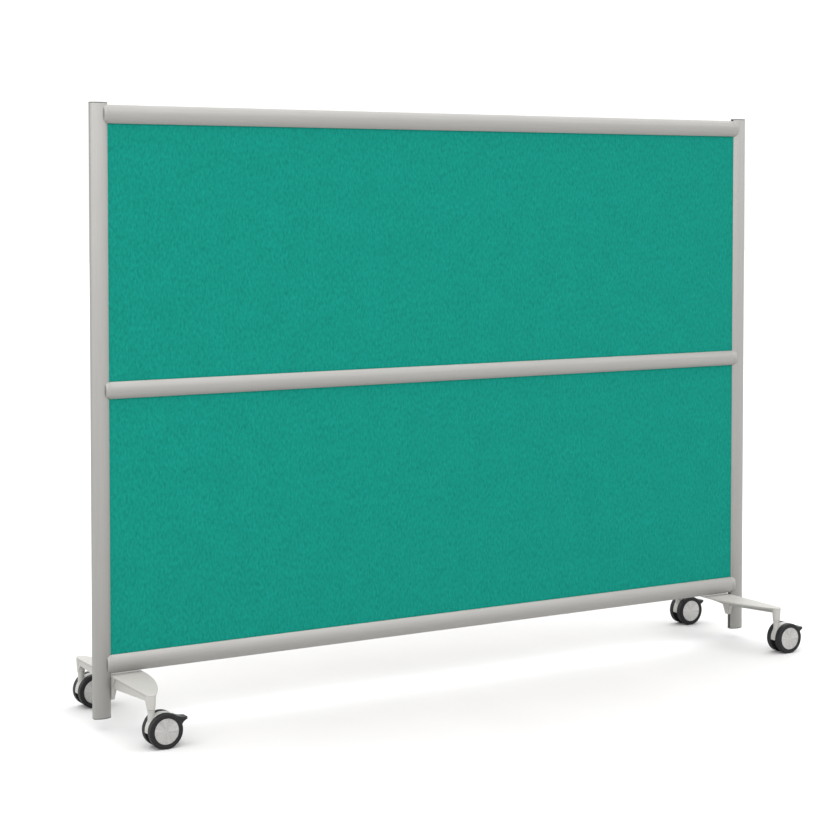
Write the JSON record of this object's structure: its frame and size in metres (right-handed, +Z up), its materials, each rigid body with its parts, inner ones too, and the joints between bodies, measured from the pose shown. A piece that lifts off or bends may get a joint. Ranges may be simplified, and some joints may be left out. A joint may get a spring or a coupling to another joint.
{
  "type": "partition wall",
  "caption": "Free-standing mobile partition wall with felt-covered panels in a rounded aluminium frame, on bow-shaped feet with braked twin-wheel casters.",
  "frame": {"origin": "on the floor, midway between the two posts", "axes": "+X along the wall, towards the ends of the brake pedals; -Y is the front face; +Z up"},
  "size_m": [1.8301, 0.4398, 1.35],
  "materials": {
    "frame_aluminium": "satin silver anodised",
    "rail_aluminium": "satin silver anodised",
    "rail_end_aluminium": "satin silver",
    "trim_aluminium": "satin silver anodised",
    "cap_grey": "moulded grey plastic",
    "foot_grey": "light grey powder coat on cast aluminium",
    "core_board": "fibreboard",
    "felt_green": "blue-green pressed felt",
    "bolt_steel": "zinc-plated",
    "stem_steel": "zinc-plated",
    "axle_steel": "zinc-plated",
    "housing_grey": "moulded light grey nylon",
    "core_black": "moulded black nylon",
    "pedal_black": "moulded black nylon",
    "wheel_black": "moulded black nylon with a soft tread",
    "disc_silver": "brushed"
  },
  "bodies": {
    "frame": {"post_left": "frame_aluminium", "trim_strip_left": "trim_aluminium", "post_top_cap_left": "cap_grey", "post_bottom_cap_left": "cap_grey", "foot_left": "foot_grey", "post_right": "frame_aluminium", "trim_strip_right": "trim_aluminium", "post_top_cap_right": "cap_grey", "post_bottom_cap_right": "cap_grey", "foot_right": "foot_grey", "top_rail": "rail_aluminium", "top_rail_end_left": "rail_end_aluminium", "top_rail_end_right": "rail_end_aluminium", "middle_rail": "rail_aluminium", "middle_rail_end_left": "rail_end_aluminium", "middle_rail_end_right": "rail_end_aluminium", "bottom_rail": "rail_aluminium", "bottom_rail_end_left": "rail_end_aluminium", "bottom_rail_end_right": "rail_end_aluminium", "upper_panel_core": "core_board", "upper_felt_front": "felt_green", "upper_felt_back": "felt_green", "lower_panel_core": "core_board", "lower_felt_front": "felt_green", "lower_felt_back": "felt_green", "rail_bolts": "bolt_steel", "foot_bolts": "bolt_steel", "caster_stems": "stem_steel"},
    "caster_front_left": {"caster_housing_front_left": "housing_grey", "caster_core_front_left": "core_black", "caster_axle_front_left": "axle_steel"},
    "brake_front_left": {"brake_pedal_front_left": "pedal_black"},
    "wheel_outer_front_left": {"wheel_outer_front_left": "wheel_black", "wheel_disc_outer_front_left": "disc_silver"},
    "wheel_inner_front_left": {"wheel_inner_front_left": "wheel_black", "wheel_disc_inner_front_left": "disc_silver"},
    "caster_front_right": {"caster_housing_front_right": "housing_grey", "caster_core_front_right": "core_black", "caster_axle_front_right": "axle_steel"},
    "brake_front_right": {"brake_pedal_front_right": "pedal_black"},
    "wheel_outer_front_right": {"wheel_outer_front_right": "wheel_black", "wheel_disc_outer_front_right": "disc_silver"},
    "wheel_inner_front_right": {"wheel_inner_front_right": "wheel_black", "wheel_disc_inner_front_right": "disc_silver"},
    "caster_back_left": {"caster_housing_back_left": "housing_grey", "caster_core_back_left": "core_black", "caster_axle_back_left": "axle_steel"},
    "brake_back_left": {"brake_pedal_back_left": "pedal_black"},
    "wheel_outer_back_left": {"wheel_outer_back_left": "wheel_black", "wheel_disc_outer_back_left": "disc_silver"},
    "wheel_inner_back_left": {"wheel_inner_back_left": "wheel_black", "wheel_disc_inner_back_left": "disc_silver"},
    "caster_back_right": {"caster_housing_back_right": "housing_grey", "caster_core_back_right": "core_black", "caster_axle_back_right": "axle_steel"},
    "brake_back_right": {"brake_pedal_back_right": "pedal_black"},
    "wheel_outer_back_right": {"wheel_outer_back_right": "wheel_black", "wheel_disc_outer_back_right": "disc_silver"},
    "wheel_inner_back_right": {"wheel_inner_back_right": "wheel_black", "wheel_disc_inner_back_right": "disc_silver"}
  },
  "joints": [
    {"name": "swivel_front_left", "type": "hinge", "parent": "frame", "child": "caster_front_left", "pos_m": [-0.8505, -0.1968, 0.083], "axis": [0, 0, 1], "continuous": true},
    {"name": "spin_outer_front_left", "type": "hinge", "parent": "caster_front_left", "child": "wheel_outer_front_left", "pos_m": [-0.8251, -0.1968, 0.0375], "axis": [0, 1, 0], "continuous": true},
    {"name": "spin_inner_front_left", "type": "hinge", "parent": "caster_front_left", "child": "wheel_inner_front_left", "pos_m": [-0.8251, -0.1968, 0.0375], "axis": [0, 1, 0], "continuous": true},
    {"name": "pedal_front_left", "type": "hinge", "parent": "caster_front_left", "child": "brake_front_left", "pos_m": [-0.8251, -0.1968, 0.0375], "axis": [0, 1, 0], "range_deg": [0, 14]},
    {"name": "swivel_front_right", "type": "hinge", "parent": "frame", "child": "caster_front_right", "pos_m": [0.8505, -0.1968, 0.083], "axis": [0, 0, 1], "continuous": true},
    {"name": "spin_outer_front_right", "type": "hinge", "parent": "caster_front_right", "child": "wheel_outer_front_right", "pos_m": [0.8759, -0.1968, 0.0375], "axis": [0, 1, 0], "continuous": true},
    {"name": "spin_inner_front_right", "type": "hinge", "parent": "caster_front_right", "child": "wheel_inner_front_right", "pos_m": [0.8759, -0.1968, 0.0375], "axis": [0, 1, 0], "continuous": true},
    {"name": "pedal_front_right", "type": "hinge", "parent": "caster_front_right", "child": "brake_front_right", "pos_m": [0.8759, -0.1968, 0.0375], "axis": [0, 1, 0], "range_deg": [0, 14]},
    {"name": "swivel_back_left", "type": "hinge", "parent": "frame", "child": "caster_back_left", "pos_m": [-0.8505, 0.1968, 0.083], "axis": [0, 0, 1], "continuous": true},
    {"name": "spin_outer_back_left", "type": "hinge", "parent": "caster_back_left", "child": "wheel_outer_back_left", "pos_m": [-0.8251, 0.1968, 0.0375], "axis": [0, 1, 0], "continuous": true},
    {"name": "spin_inner_back_left", "type": "hinge", "parent": "caster_back_left", "child": "wheel_inner_back_left", "pos_m": [-0.8251, 0.1968, 0.0375], "axis": [0, 1, 0], "continuous": true},
    {"name": "pedal_back_left", "type": "hinge", "parent": "caster_back_left", "child": "brake_back_left", "pos_m": [-0.8251, 0.1968, 0.0375], "axis": [0, 1, 0], "range_deg": [0, 14]},
    {"name": "swivel_back_right", "type": "hinge", "parent": "frame", "child": "caster_back_right", "pos_m": [0.8505, 0.1968, 0.083], "axis": [0, 0, 1], "continuous": true},
    {"name": "spin_outer_back_right", "type": "hinge", "parent": "caster_back_right", "child": "wheel_outer_back_right", "pos_m": [0.8759, 0.1968, 0.0375], "axis": [0, 1, 0], "continuous": true},
    {"name": "spin_inner_back_right", "type": "hinge", "parent": "caster_back_right", "child": "wheel_inner_back_right", "pos_m": [0.8759, 0.1968, 0.0375], "axis": [0, 1, 0], "continuous": true},
    {"name": "pedal_back_right", "type": "hinge", "parent": "caster_back_right", "child": "brake_back_right", "pos_m": [0.8759, 0.1968, 0.0375], "axis": [0, 1, 0], "range_deg": [0, 14]}
  ]
}
